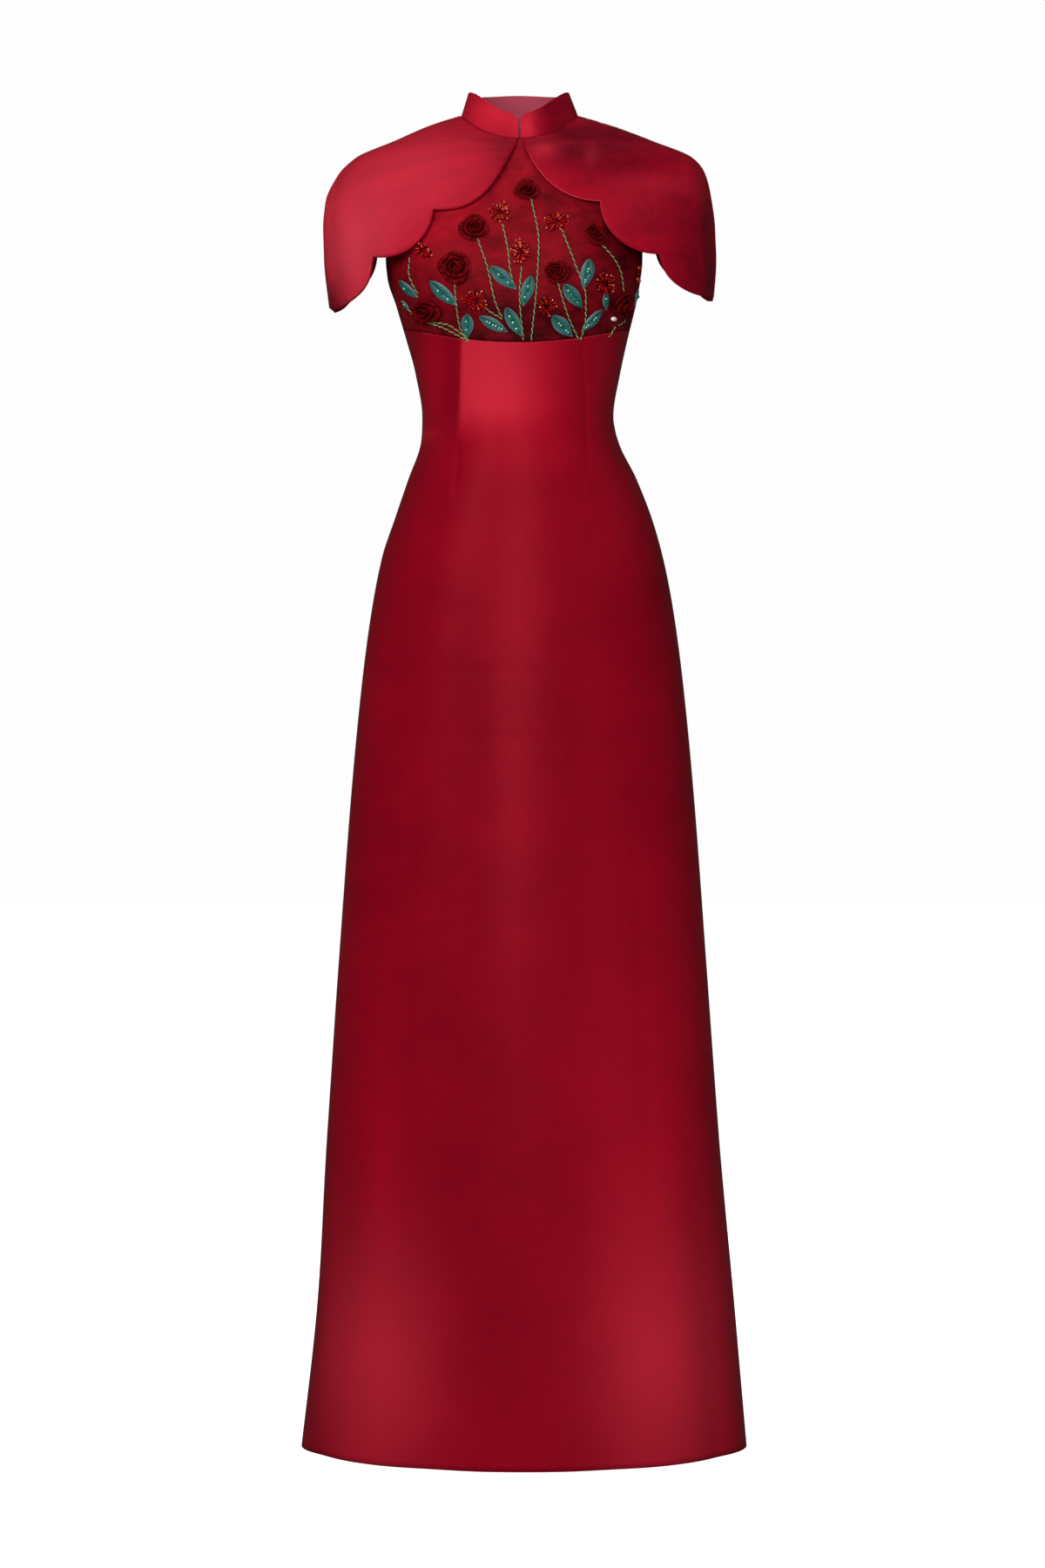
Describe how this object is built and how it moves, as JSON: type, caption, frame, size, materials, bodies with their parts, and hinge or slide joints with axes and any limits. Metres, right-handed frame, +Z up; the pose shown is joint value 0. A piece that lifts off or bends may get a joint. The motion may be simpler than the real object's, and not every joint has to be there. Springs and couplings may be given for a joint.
{
  "type": "ao dai",
  "caption": "Long fitted tunic dress with side slits, a standing collar, an embroidered yoke and a scalloped shoulder capelet, hollow as worn.",
  "frame": {"origin": "middle of the neck, level with the points where the neck meets the shoulders", "axes": "+Z up along the wearer's height, front towards -Y, +X to the right as seen from the front"},
  "size_m": [0.4746, 0.2564, 1.458],
  "materials": {
    "skirt_satin": "deep red satin",
    "capelet_satin": "crimson satin organza",
    "yoke_net": "wine red net over satin",
    "ribbon": "dark wine ribbon",
    "leaf_satin": "teal satin"
  },
  "bodies": {
    "root": {"back_panel_left": "skirt_satin", "back_panel_right": "skirt_satin", "back_yoke_left": "yoke_net", "back_yoke_right": "yoke_net", "capelet": "capelet_satin", "collar": "capelet_satin", "front_panel": "skirt_satin", "front_yoke": "yoke_net", "leaf_1": "leaf_satin", "leaf_10": "leaf_satin", "leaf_11": "leaf_satin", "leaf_12": "leaf_satin", "leaf_13": "leaf_satin", "leaf_14": "leaf_satin", "leaf_2": "leaf_satin", "leaf_3": "leaf_satin", "leaf_4": "leaf_satin", "leaf_5": "leaf_satin", "leaf_6": "leaf_satin", "leaf_7": "leaf_satin", "leaf_8": "leaf_satin", "leaf_9": "leaf_satin", "rose_1": "ribbon", "rose_2": "ribbon", "rose_3": "ribbon", "rose_4": "ribbon", "rose_5": "ribbon", "rose_6": "ribbon", "rose_7": "ribbon"}
  },
  "joints": []
}
